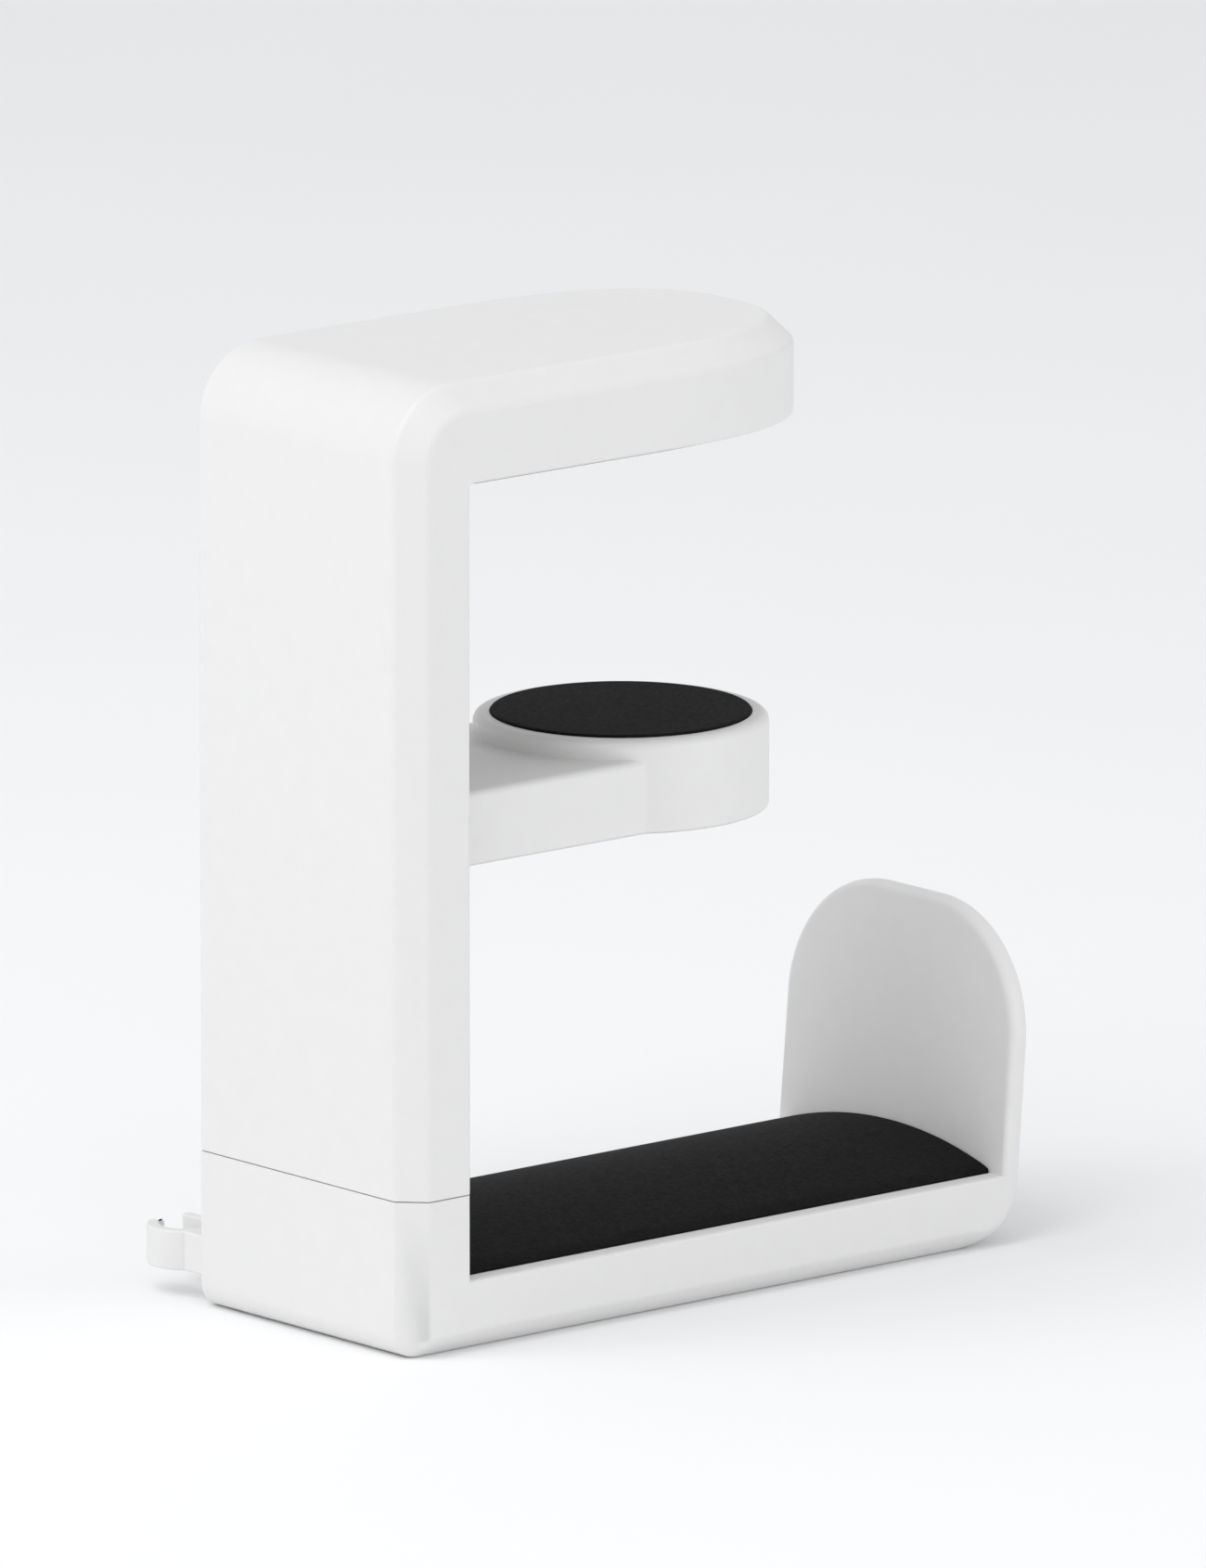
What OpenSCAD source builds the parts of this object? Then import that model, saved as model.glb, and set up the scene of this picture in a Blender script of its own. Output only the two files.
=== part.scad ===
// Clamp-on headphone hook for a desk edge.
//
// A C-shaped clamp frame sits over the desk edge. Its hollow column holds an upright lead screw, and
// the hook under the column is fixed to the screw's lower end. Turning the hook turns the screw, which
// lifts or lowers a nut, its carriage and the lower jaw.
//
// Every module is laid out from the foot of the hook's outer face: X runs from the column towards the
// desk, Y across, Z up. place() then moves the parts to the object's own frame, whose origin is the
// centre of the clamping axis on the upper pad's face, where the desk's top surface lies.

/* [Clamp frame] */
// Width of the column, the upper arm and the hook
body_w = 40; // [39:0.5:44]
// Depth of the column, from its outer to its inner face
column_d = 9; // [9:0.1:9.6]
// Height of the whole object
overall_h = 112; // [112:1:124]
// Thickness of the upper arm
arm_t = 11.4; // [11:0.1:12.4]
// Distance from the column's outer face to the arm's tip
arm_len = 67.8; // [66:0.2:76]
// Length of the arm's tapered tip
tip_len = 31.2; // [27:0.2:34]
// Fullness of the tip: 2 is an ellipse, more is squarer
tip_power = 2.57; // [2:0.01:3]
// Width of the 45 degree chamfer along the outer edges
edge_chamfer = 2.9; // [1:0.1:3]
// Radius of the bend from column to arm
bend_r = 8.5; // [6:0.5:9]
// Wall of the moulded shells
wall = 1.7; // [1.4:0.1:1.8]
// Height at which the column ends and the hook begins
seam_z = 18.4; // [17:0.1:20]
// Gap at the seam between column and hook
seam_gap = 0.1; // [0.05:0.05:0.3]

/* [Jaw] */
// Underside of the lower jaw at rest
jaw_z = 55; // [52:0.5:58]
// Width of the jaw's arm
jaw_w = 29.2; // [26:0.2:31]
// Height of the jaw's arm
jaw_t = 8.7; // [8:0.1:9.5]
// Distance from the column's outer face to the centre of the jaw's disc
pad_axis_x = 48.5; // [46:0.5:50]
// Radius of the disc
disc_r = 17; // [16:0.1:18]
// Height of the disc
disc_t = 10.9; // [10.4:0.1:12]
// Radius of the disc's rubber pad
jaw_pad_r = 15; // [12:0.1:15.2]
// Height by which the jaw pad stands above the disc's rim
jaw_pad_proud = 0.3; // [0.1:0.1:1]

/* [Hook] */
// Distance from the column's outer face to the end plate's foot
hook_len = 92; // [84:1:100]
// Height of the end plate's top edge
plate_h = 38.7; // [34:0.1:44]
// Thickness of the end plate
plate_t = 3; // [2.4:0.1:3.6]
// Outward lean of the end plate, in degrees
plate_lean = 4.3; // [0:0.1:8]
// Radius of the end plate's upper corners
plate_r = 15.4; // [10:0.1:18]
// Height of the tray's side rims
rim_z = 8.4; // [7.4:0.1:9]
// Height of the hollow under the tray
hollow_z = 4.8; // [4.4:0.1:5]
// Radius of the tray's lower far corner
corner_r = 8.5; // [8:0.1:10]
// Chamfer along the tray's lower edges
foot_chamfer = 2.5; // [1:0.1:2.6]
// Height of the tray pad's side edges
tray_pad_t = 1.1; // [1:0.1:2]
// Rise of the tray pad's crown from its edges to its middle
crown_rise = 2.7; // [1:0.1:3.5]

/* [Cable clip] */
// Radius of the cable's seat
clip_r = 3.1; // [2.8:0.1:3.2]
// Wall of the clip
clip_wall = 1.5; // [1.2:0.1:1.8]
// Height of the clip
clip_h = 4.7; // [4:0.1:6]

/* [Lead screw] */
// Outer radius of the thread
screw_r = 2; // [1.8:0.05:2]
// Radius of the journal at the screw's upper end
journal_r = 1.5; // [1.2:0.1:1.6]
// Running clearance on the radius
run_gap = 0.05; // [0.03:0.01:0.08]

/* [Hidden] */
$fn = 64;

white = [0.93, 0.93, 0.92];
black = [0.07, 0.07, 0.07];
steel = [0.75, 0.76, 0.78];
bronze = [0.72, 0.58, 0.33];

// general
half_w = body_w / 2;
fit = 0.1;                              // gap between parts that are fixed together
cut = 1;                                // how far a cutter passes a surface
film = 0.01;                            // thickness of an outline that hull() joins to another
arm_z = overall_h - arm_t;              // underside of the arm's shell
upper_pad_t = 1.2;
upper_pad_proud = 0.4;
desk_top_z = arm_z - upper_pad_proud;   // face of the upper pad
screw_x = column_d / 2;                 // axis of the lead screw

// column
frame_z = seam_z + seam_gap;
floor_t = 5;                            // the column's thick lower wall
channel_z0 = frame_z + floor_t;
channel_z1 = arm_z - 4.1;
channel_w = half_w - 2.4;
cover_t = 1.6;
cover_w = half_w - 1.6;                 // half width of the rebate for the cover
cover_x = column_d - cover_t;
slot_w = 5.5;                           // half width of the cover's slot
slot_z = [46.8, 92.2];
rib_y = [12.3, 13.7];                   // guide ribs on both sides of the carriage
boss_y = 15.4;
boss_z = [29, 91];
tapping_r = 0.85;                       // pilot hole of a small self-tapping screw
small_shank_r = 0.8;
small_head = [1.9, 0.9];                // radius and height of its flat head

// upper arm
lip_in = 1.4;                           // rim left around the pad
arm_cover_t = 1.7;
arm_cover_z = arm_z - upper_pad_proud + upper_pad_t;
arm_root_x = column_d + 1.8;
arm_hollow_top = overall_h - 2.8;
arm_boss = [[16, 13], [16, -13], [55, 9], [55, -9]];
arm_screw_len = 6.5;

// bearings and screw
bush_r = 2.7;
flange_r = 3.6;
flange_t = 1;
collar_r = 2.7;
collar_z = [channel_z0 + 0.6, channel_z0 + 2.1];
journal_z = channel_z1 - 1.5;
upper_bush_h = 4;
square_w = 2.8;                         // square end that drives the screw
socket_z = 5;                           // floor of the square socket in the hook
square_top = 12;
tapped_r = 1.05;
washer_r = 3.1;
washer_t = 0.5;
head_t = 1.8;

// jaw
jaw_x = column_d + 0.4;
carriage_x = [wall + 0.25, cover_x - 0.35];
carriage_w = 12;                        // half width
carriage_z = [jaw_z - 7, jaw_z + 11];
neck_w = 5;                             // half width of the neck in the slot
neck_z = [jaw_z + 1.2, jaw_z + 7.5];
jaw_screw_y = 3.7;
jaw_screw_z = jaw_z + 4.35;
nut_w = 4;
nut_z = [carriage_z[0] + 1.6, carriage_z[0] + 6.9];
jaw_cover_t = 1.3;
jaw_wall = 1.8;
pin_spots = [[22, 8.5], [22, -8.5], [pad_axis_x + 9, 0]];
recess_t = 1.5;

// hook
skirt_t = 3.2;
pad_w = half_w - 2.5;                   // half width of the tray pad
seat_z = rim_z - 0.5;                   // edge of the pad's crowned seat
crown_r = (pow(pad_w, 2) + pow(crown_rise, 2)) / (2 * crown_rise);
foot_r = 3;                             // bend of the block's lower outer edge
far_x = hook_len - corner_r * (1 - sin(plate_lean)) / cos(plate_lean);  // centre of the far corner
plate_z = corner_r * (1 - sin(plate_lean));                             // where it meets the plate
clip_z = 3.2;
clip_c = [clip_r + clip_wall, half_w + 5.3];
clip_arm_x = [6.8, 8.3];
clip_root = 1.6;

module place() {
    translate([-pad_axis_x, 0, -desk_top_z]) children();
}

module at_both_sides() {
    children();
    mirror([0, 1, 0]) children();
}

// ---------- outlines ----------

module column_plan(x0 = 0, w = half_w, c = edge_chamfer, x1 = column_d) {
    polygon([[x0, -w + c], [x0 + c, -w], [x1, -w], [x1, w], [x0 + c, w], [x0, w - c]]);
}

// Half-round tip of the upper arm, from its straight sides round to the other side.
function tip_point(t, inset) = [
    arm_len - tip_len + (tip_len - inset) * pow(abs(cos(t)), 2 / tip_power),
    sign(t) * (half_w - inset) * pow(abs(sin(t)), 2 / tip_power)
];

module arm_plan(x0, inset = 0) {
    polygon(concat(
        [[x0, -half_w + inset]],
        [for (t = [-90 : 5 : 90]) tip_point(t, inset)],
        [[x0, half_w - inset]]
    ));
}

module end_plate_front() {
    flat = half_w - plate_r;
    inner_w = half_w - skirt_t;
    translate([-inner_w - 0.2, hollow_z]) square([2 * inner_w + 0.4, plate_z]);
    translate([-half_w, plate_z]) square([body_w, plate_h - plate_r - plate_z]);
    translate([-flat, plate_z]) square([2 * flat, plate_h - plate_z]);
    for (side = [-1, 1])
        translate([side * flat, plate_h - plate_r]) circle(r = plate_r, $fn = 96);
}

// A bar of the given half width and span in X and Z.
module bar(x, w, z) {
    translate([x[0], -w, z[0]]) cube([x[1] - x[0], 2 * w, z[1] - z[0]]);
}

module rod(r, z) {
    translate([0, 0, z[0]]) cylinder(r = r, h = z[1] - z[0]);
}

// ---------- clamp frame ----------

// Quarter bend of the chamfered body, from the vertical to the horizontal, about its own centre.
module bend(r) {
    rotate([90, 0, 0]) rotate([0, 0, 90]) rotate_extrude(angle = 90, $fn = 96)
        polygon([
            [0, -half_w], [r - edge_chamfer, -half_w], [r, -half_w + edge_chamfer],
            [r, half_w - edge_chamfer], [r - edge_chamfer, half_w], [0, half_w]
        ]);
}

module frame_outer() {
    chamfer_z = overall_h - edge_chamfer;
    translate([0, 0, frame_z])
        linear_extrude(overall_h - bend_r - frame_z) column_plan();
    translate([bend_r, 0, overall_h - bend_r]) bend(bend_r);
    translate([0, 0, arm_z]) linear_extrude(chamfer_z - arm_z) arm_plan(bend_r);
    hull() {
        translate([0, 0, chamfer_z - film]) linear_extrude(film) arm_plan(bend_r);
        translate([0, 0, overall_h - film]) linear_extrude(film) arm_plan(bend_r, edge_chamfer);
    }
}

module column_hollow() {
    difference() {
        translate([0, 0, channel_z0]) linear_extrude(channel_z1 - channel_z0)
            column_plan(wall, channel_w, 1.8, column_d + cut);
        at_both_sides() {
            translate([0, rib_y[0], channel_z0 - cut])
                cube([cover_x, rib_y[1] - rib_y[0], channel_z1 - channel_z0 + 2 * cut]);
            for (z = boss_z)
                translate([0, boss_y, z]) rotate([0, 90, 0]) cylinder(r = 2, h = cover_x);
        }
    }
    bar([cover_x, column_d + cut], cover_w, [channel_z0, channel_z1]);
    at_both_sides()
        for (z = boss_z)
            translate([wall + 0.8, boss_y, z]) rotate([0, 90, 0])
                cylinder(r = tapping_r, h = cover_x, $fn = 32);
}

module arm_hollow() {
    translate([0, 0, arm_z - cut]) linear_extrude(arm_cover_z + arm_cover_t - arm_z + cut)
        arm_plan(arm_root_x, lip_in);
    difference() {
        translate([0, 0, arm_cover_z]) linear_extrude(arm_hollow_top - arm_cover_z)
            arm_plan(arm_root_x + wall, lip_in + 1.6);
        translate([0, 0, arm_cover_z + arm_cover_t]) {
            for (p = arm_boss) translate(p) cylinder(r = 2.2, h = arm_t);
            translate([0, -wall / 2, 0]) cube([arm_len, wall, arm_t]);
            for (x = [28, 42]) translate([x, -half_w, 0]) cube([1.4, body_w, arm_t]);
        }
    }
    for (p = arm_boss)
        translate([p[0], p[1], arm_cover_z]) cylinder(r = tapping_r, h = arm_screw_len + 0.5, $fn = 32);
}

module clamp_frame() {
    place() color(white) difference() {
        frame_outer();
        column_hollow();
        arm_hollow();
        translate([screw_x, 0, 0]) {
            rod(bush_r + run_gap, [frame_z - cut, channel_z0 + cut]);
            rod(flange_r + run_gap, [frame_z - cut, frame_z + flange_t + fit]);
            rod(bush_r + run_gap, [channel_z1 - cut, channel_z1 + upper_bush_h + fit]);
        }
    }
}

module column_cover() {
    place() color(white) difference() {
        bar([cover_x + 0.02, column_d], cover_w - fit, [channel_z0 + fit, channel_z1 - fit]);
        bar([cover_x - cut, column_d + cut], slot_w, slot_z);
        at_both_sides()
            for (z = boss_z)
                translate([0, boss_y, z]) rotate([0, 90, 0]) {
                    cylinder(r = tapping_r + 0.15, h = column_d + cut, $fn = 32);
                    translate([0, 0, column_d - small_head[1] - 0.1])
                        cylinder(r = small_head[0] + fit, h = cut + 1);
                }
    }
}

// A flat-headed self-tapping screw with a crossed slot. Its tip is at z = 0 and its head is on top.
module small_screw(len) {
    difference() {
        union() {
            cylinder(r = small_shank_r, h = len, $fn = 32);
            translate([0, 0, len - small_head[1]]) cylinder(r = small_head[0], h = small_head[1]);
        }
        for (turn = [0, 90])
            rotate([0, 0, turn]) translate([-1, -0.2, len - 0.4]) cube([2, 0.4, 1]);
    }
}

module column_screws() {
    len = column_d - 0.1 - wall - 0.9;
    place() color(steel) at_both_sides()
        for (z = boss_z)
            translate([wall + 0.9, boss_y, z]) rotate([0, 90, 0]) small_screw(len);
}

module arm_cover() {
    place() color(white) difference() {
        translate([0, 0, arm_cover_z + 0.02])
            linear_extrude(arm_cover_t - 0.04) arm_plan(arm_root_x + fit, lip_in + fit);
        for (p = arm_boss) translate([p[0], p[1], arm_cover_z - cut]) {
            cylinder(r = tapping_r + 0.15, h = arm_cover_t + 2 * cut, $fn = 32);
            cylinder(r = small_head[0] + fit, h = cut + small_head[1] + fit);
        }
    }
}

module arm_screws() {
    place() color(steel)
        for (p = arm_boss)
            translate([p[0], p[1], arm_cover_z + 0.1 + arm_screw_len])
                rotate([180, 0, 0]) small_screw(arm_screw_len);
}

module upper_pad() {
    place() color(black) translate([0, 0, desk_top_z])
        linear_extrude(upper_pad_t) arm_plan(arm_root_x + fit, lip_in + fit);
}

// ---------- bearings ----------

module upper_bush() {
    place() color(bronze) translate([screw_x, 0, 0]) difference() {
        rod(bush_r, [channel_z1, channel_z1 + upper_bush_h]);
        rod(journal_r + run_gap, [channel_z1 - cut, channel_z1 + upper_bush_h + cut]);
    }
}

module lower_bush() {
    place() color(bronze) translate([screw_x, 0, 0]) difference() {
        union() {
            rod(bush_r, [frame_z, channel_z0]);
            rod(flange_r, [frame_z, frame_z + flange_t]);
        }
        rod(screw_r + run_gap, [frame_z - cut, channel_z0 + cut]);
    }
}

module thrust_washer() {
    place() color(steel) translate([screw_x, 0, 0]) difference() {
        rod(collar_r, [channel_z0 + 0.02, collar_z[0] - 0.05]);
        rod(screw_r + run_gap, [channel_z0 - cut, collar_z[0] + cut]);
    }
}

// ---------- lower jaw ----------

module jaw_plan(inset) {
    x0 = jaw_x + inset;
    translate([x0, -jaw_w / 2 + inset]) square([pad_axis_x - x0, jaw_w - 2 * inset]);
    translate([pad_axis_x, 0]) circle(r = disc_r - inset, $fn = 128);
}

module jaw_outer() {
    bevel = 1.2;
    w = jaw_w / 2;
    translate([jaw_x, 0, jaw_z]) rotate([90, 0, 90]) linear_extrude(pad_axis_x - jaw_x)
        polygon([[-w, 0], [w, 0], [w, jaw_t - bevel], [w - bevel, jaw_t],
                 [-w + bevel, jaw_t], [-w, jaw_t - bevel]]);
    translate([pad_axis_x, 0, jaw_z]) rotate_extrude($fn = 128) {
        square([disc_r, disc_t - bevel]);
        square([disc_r - bevel, disc_t]);
        translate([disc_r - bevel, disc_t - bevel]) circle(r = bevel, $fn = 32);
    }
}

module jaw_arm() {
    place() color(white) difference() {
        union() {
            jaw_outer();
            bar([carriage_x[1] + 0.05, jaw_x + cut], neck_w, neck_z);
        }
        translate([0, 0, jaw_z - cut]) linear_extrude(jaw_cover_t + fit + cut) jaw_plan(1.2);
        difference() {
            union() {
                bar([jaw_x + 6, pad_axis_x], jaw_w / 2 - jaw_wall, [jaw_z, jaw_z + jaw_t - jaw_wall]);
                translate([pad_axis_x, 0, 0])
                    rod(disc_r - jaw_wall, [jaw_z, jaw_z + disc_t - recess_t - jaw_wall]);
            }
            for (p = pin_spots)
                translate([p[0], p[1], jaw_z + jaw_cover_t + fit]) cylinder(r = 2.4, h = disc_t);
            translate([jaw_x, -0.7, jaw_z + 3.5]) cube([pad_axis_x, 1.4, disc_t]);
        }
        for (p = pin_spots)
            translate([p[0], p[1], jaw_z]) cylinder(r = 1.25, h = 5, $fn = 32);
        translate([pad_axis_x, 0, 0])
            rod(jaw_pad_r + fit, [jaw_z + disc_t - recess_t, jaw_z + disc_t + cut]);
        at_both_sides() translate([0, jaw_screw_y, jaw_screw_z]) rotate([0, 90, 0])
            cylinder(r = tapping_r, h = jaw_x + 4.5, $fn = 32);
    }
}

module jaw_cover() {
    place() color(white) {
        translate([0, 0, jaw_z]) linear_extrude(jaw_cover_t) jaw_plan(1.2 + fit);
        for (p = pin_spots)
            translate([p[0], p[1], jaw_z + jaw_cover_t / 2]) cylinder(r = 1.2, h = 4, $fn = 32);
    }
}

module jaw_pad() {
    place() color(black) translate([pad_axis_x, 0, 0])
        rod(jaw_pad_r, [jaw_z + disc_t - recess_t, jaw_z + disc_t + jaw_pad_proud]);
}

module jaw_carriage() {
    head_gap = 0.15;
    place() color(white) difference() {
        bar(carriage_x, carriage_w, carriage_z);
        translate([screw_x, 0, 0])
            rod(screw_r + 0.3, [carriage_z[0] - cut, carriage_z[1] + cut]);
        bar([carriage_x[0] - cut, carriage_x[1] + cut], nut_w + fit, [nut_z[0] - fit, nut_z[1] + fit]);
        at_both_sides() translate([0, jaw_screw_y, jaw_screw_z]) rotate([0, 90, 0]) {
            cylinder(r = tapping_r + 0.1, h = column_d, $fn = 32);
            cylinder(r = 1.45, h = carriage_x[0] + small_head[1] + head_gap, $fn = 32);
        }
        at_both_sides() translate([carriage_x[0] - cut, 6.5, carriage_z[0] + 2])
            cube([cut + 2.6, 3.8, carriage_z[1] - carriage_z[0] - 4]);
    }
}

module carriage_nut() {
    place() color(bronze) difference() {
        bar([carriage_x[0] + 0.1, carriage_x[1] - 0.1], nut_w, nut_z);
        translate([screw_x, 0, 0]) rod(screw_r + run_gap, [nut_z[0] - cut, nut_z[1] + cut]);
    }
}

module jaw_screws() {
    len = jaw_x + 4 - carriage_x[0];
    place() color(steel) at_both_sides()
        translate([carriage_x[0] + 0.1, jaw_screw_y, jaw_screw_z]) rotate([0, 90, 0]) {
            cylinder(r = small_shank_r, h = len, $fn = 32);
            cylinder(r = 1.35, h = small_head[1], $fn = 32);
        }
}

// ---------- hook ----------

// Block under the column, with the column's chamfers bent round its lower outer edge.
module block() {
    c = foot_chamfer;
    translate([0, 0, foot_r]) linear_extrude(seam_z - foot_r) column_plan();
    translate([foot_r, 0, foot_r]) mirror([0, 0, 1]) bend(foot_r);
    translate([foot_r, 0, 0]) rotate([90, 0, 90]) linear_extrude(column_d - foot_r)
        polygon([[-half_w, c], [-half_w + c, 0], [half_w - c, 0], [half_w, c],
                 [half_w, foot_r + 0.5], [-half_w, foot_r + 0.5]]);
}

// Half of the tray's section, from the middle to one side: floor, rim and side skirt.
tray_half = [
    [0, hollow_z], [half_w - skirt_t, hollow_z], [half_w - skirt_t, 0], [half_w - foot_chamfer, 0],
    [half_w, foot_chamfer], [half_w, rim_z], [pad_w + fit, rim_z], [pad_w + fit, seat_z], [0, seat_z]
];

module tray() {
    c = foot_chamfer;
    translate([column_d - 0.5, 0, 0]) rotate([90, 0, 90])
        linear_extrude(far_x - column_d + 0.5) {
            polygon(tray_half);
            mirror([1, 0]) polygon(tray_half);
        }
    // far corners of the skirts, rounded up into the end plate
    at_both_sides() translate([far_x, 0, corner_r]) rotate([90, 0, 0]) rotate([0, 0, -90])
        rotate_extrude(angle = 90 - plate_lean, $fn = 96)
            polygon([
                [0, -half_w], [corner_r - c, -half_w], [corner_r, -half_w + c],
                [corner_r, -half_w + skirt_t], [0, -half_w + skirt_t]
            ]);
    // floor between them
    bar([far_x - 0.5, hook_len - 1.5], half_w - skirt_t + 0.5, [hollow_z, seat_z]);
}

module end_plate() {
    translate([hook_len, 0, 0]) rotate([0, plate_lean, 0]) translate([-plate_t, 0, 0])
        rotate([90, 0, 90]) linear_extrude(plate_t) end_plate_front();
}

module hook_body() {
    place() color(white) difference() {
        union() {
            block();
            tray();
            end_plate();
        }
        translate([screw_x, 0, 0]) {
            rod(screw_r + run_gap, [square_top, seam_z + cut]);
            rod(3.9, [seam_z - washer_t - 0.05, seam_z + cut]);
            translate([-square_w / 2 - fit, -square_w / 2 - fit, socket_z])
                cube([square_w + 2 * fit, square_w + 2 * fit, square_top - socket_z + fit]);
            rod(1.4, [-cut, socket_z + cut]);
            rod(washer_r + fit, [-cut, 3]);
        }
        translate([1.5 - fit, half_w - clip_root - fit, clip_z - fit])
            cube([clip_arm_x[1] - 1.5 + 2 * fit, 4, clip_h + 2 * fit]);
    }
}

module tray_pad() {
    x = [column_d + 0.1, hook_len - plate_t + sin(plate_lean) * seat_z - 0.05];
    top_z = seat_z + tray_pad_t + crown_rise;
    place() color(black) intersection() {
        bar(x, pad_w, [seat_z + 0.02, top_z + cut]);
        translate([0, 0, top_z - crown_r]) rotate([0, 90, 0])
            cylinder(r = crown_r, h = hook_len, $fn = 256);
    }
}

// A round cup for the cable with a straight back arm, open away from the hook.
module clip_plan() {
    outer_r = clip_r + clip_wall;
    difference() {
        union() {
            intersection() {
                translate(clip_c) circle(r = outer_r);
                translate([0, half_w]) square([clip_arm_x[1], 9.2]);
            }
            translate([1.5, half_w - clip_root]) square([clip_arm_x[1] - 1.5, clip_root + 2.2]);
            translate([clip_arm_x[0], half_w]) square([clip_arm_x[1] - clip_arm_x[0], 8.4]);
        }
        difference() {
            union() {
                translate(clip_c) circle(r = clip_r);
                translate([clip_c[0] - 0.9, clip_c[1]]) square([5, 6]);
            }
            translate([clip_arm_x[0], half_w]) square([4, 12]);
        }
    }
    translate([clip_c[0] - 0.95, half_w + 9.2 - clip_wall / 2]) circle(r = clip_wall / 2, $fn = 32);
    translate([(clip_arm_x[0] + clip_arm_x[1]) / 2, half_w + 8.4])
        circle(r = clip_wall / 2, $fn = 32);
}

module cable_clip() {
    place() color(white) translate([0, 0, clip_z]) linear_extrude(clip_h) clip_plan();
}

module lead_screw() {
    place() color(steel) translate([screw_x, 0, 0]) difference() {
        union() {
            rod(screw_r, [square_top, journal_z]);
            rod(collar_r, collar_z);
            rod(journal_r, [journal_z - cut, channel_z1 + upper_bush_h - 0.4]);
            translate([-square_w / 2, -square_w / 2, socket_z + fit])
                cube([square_w, square_w, square_top - socket_z]);
        }
        rod(tapped_r, [0, square_top + 2]);
    }
}

module base_washer() {
    place() color(steel) translate([screw_x, 0, 0]) difference() {
        rod(3.8, [seam_z - washer_t - 0.03, seam_z - 0.05]);
        rod(screw_r + run_gap, [0, overall_h]);
    }
}

module hook_washer() {
    place() color(steel) translate([screw_x, 0, 0]) difference() {
        rod(washer_r, [3 - washer_t - 0.02, 2.98]);
        rod(1.3, [0, 4]);
    }
}

module hook_screw() {
    top = 3 - washer_t - 0.04;
    place() color(steel) translate([screw_x, 0, 0]) difference() {
        union() {
            rod(1, [top - 0.1, square_top + 1.5]);
            rod(2.3, [top - head_t, top]);
        }
        translate([0, 0, top - head_t - cut]) cylinder(r = 1.15, h = 1 + cut, $fn = 6);
    }
}

clamp_frame();
column_cover();
column_screws();
arm_cover();
arm_screws();
upper_pad();
upper_bush();
lower_bush();
thrust_washer();
jaw_arm();
jaw_cover();
jaw_pad();
jaw_carriage();
carriage_nut();
jaw_screws();
hook_body();
tray_pad();
cable_clip();
lead_screw();
base_washer();
hook_washer();
hook_screw();
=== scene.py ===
"""Looks of a headphone hook that clamps on a desk edge.

Shapes are laid out in millimetres from the foot of the hook's outer face: X runs from the column
towards the desk, Y across, Z up. to_frame() moves a finished mesh into the part's frame, in metres.
The places and sizes that the CAD model settles are read from the frame.
"""

import math

import bmesh
import bpy
from mathutils import Matrix, Vector


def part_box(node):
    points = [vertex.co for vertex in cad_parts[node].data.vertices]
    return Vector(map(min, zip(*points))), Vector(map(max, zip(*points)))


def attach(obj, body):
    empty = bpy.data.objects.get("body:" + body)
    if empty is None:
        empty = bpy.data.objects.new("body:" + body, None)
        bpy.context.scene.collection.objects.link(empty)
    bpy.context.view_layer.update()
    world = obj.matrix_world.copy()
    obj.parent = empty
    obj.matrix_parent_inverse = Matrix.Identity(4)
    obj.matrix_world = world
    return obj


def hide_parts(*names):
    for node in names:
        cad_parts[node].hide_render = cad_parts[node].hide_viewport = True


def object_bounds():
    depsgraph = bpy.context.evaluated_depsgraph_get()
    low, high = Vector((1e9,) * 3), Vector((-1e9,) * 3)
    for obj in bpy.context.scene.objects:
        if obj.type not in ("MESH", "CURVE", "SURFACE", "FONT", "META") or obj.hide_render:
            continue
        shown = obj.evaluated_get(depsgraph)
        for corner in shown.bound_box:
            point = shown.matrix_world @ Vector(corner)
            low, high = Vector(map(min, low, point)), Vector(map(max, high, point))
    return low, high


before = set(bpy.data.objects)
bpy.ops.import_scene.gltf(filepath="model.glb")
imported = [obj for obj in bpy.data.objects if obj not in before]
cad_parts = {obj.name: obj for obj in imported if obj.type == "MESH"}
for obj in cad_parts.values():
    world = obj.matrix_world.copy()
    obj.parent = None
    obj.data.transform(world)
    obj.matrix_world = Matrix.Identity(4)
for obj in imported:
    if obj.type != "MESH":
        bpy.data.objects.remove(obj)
cad_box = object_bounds()

MM = 0.001                              # a layout millimetre in metres
NEAR = 0.01                             # mm within which a point counts as on a plane
FIT = 0.1                               # mm of play between fitted parts
WELD = 0.01                             # mm within which vertices are one
SHARPEST = 24                           # degrees between faces that still look smooth
ORIGIN = Vector((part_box("clamp_frame")[0].x, 0.0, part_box("hook_body")[0].z))


def layout_box(node):
    """Lowest and highest corner of a CAD node, in layout millimetres."""
    return [(corner - ORIGIN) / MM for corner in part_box(node)]


SHELL_LOW, SHELL_HIGH = layout_box("clamp_frame")
COVER_LOW, COVER_HIGH = layout_box("column_cover")
PAD_LOW, PAD_HIGH = layout_box("tray_pad")
JAW_LOW, JAW_HIGH = layout_box("jaw_arm")
JAW_PAD_LOW, JAW_PAD_HIGH = layout_box("jaw_pad")
CLIP_LOW, CLIP_HIGH = layout_box("cable_clip")
SCREW_LOW, SCREW_HIGH = layout_box("lead_screw")
HALF_W = SHELL_HIGH.y
COLUMN_D = COVER_HIGH.x
SCREW_X = (SCREW_LOW.x + SCREW_HIGH.x) / 2
JAW_AXIS_X = (JAW_PAD_LOW.x + JAW_PAD_HIGH.x) / 2

# clamp frame
SHELL_BEND = 8.5
SHELL_CHAMFER = 2.9
ARM_T = 11.4
TIP_LEN = 31.2
TIP_POWER = 2.57                        # exponent of the tip's superellipse
COLUMN_WALL = 1.7
ARM_WALL, ARM_REBATE = 3.0, 1.4

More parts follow.
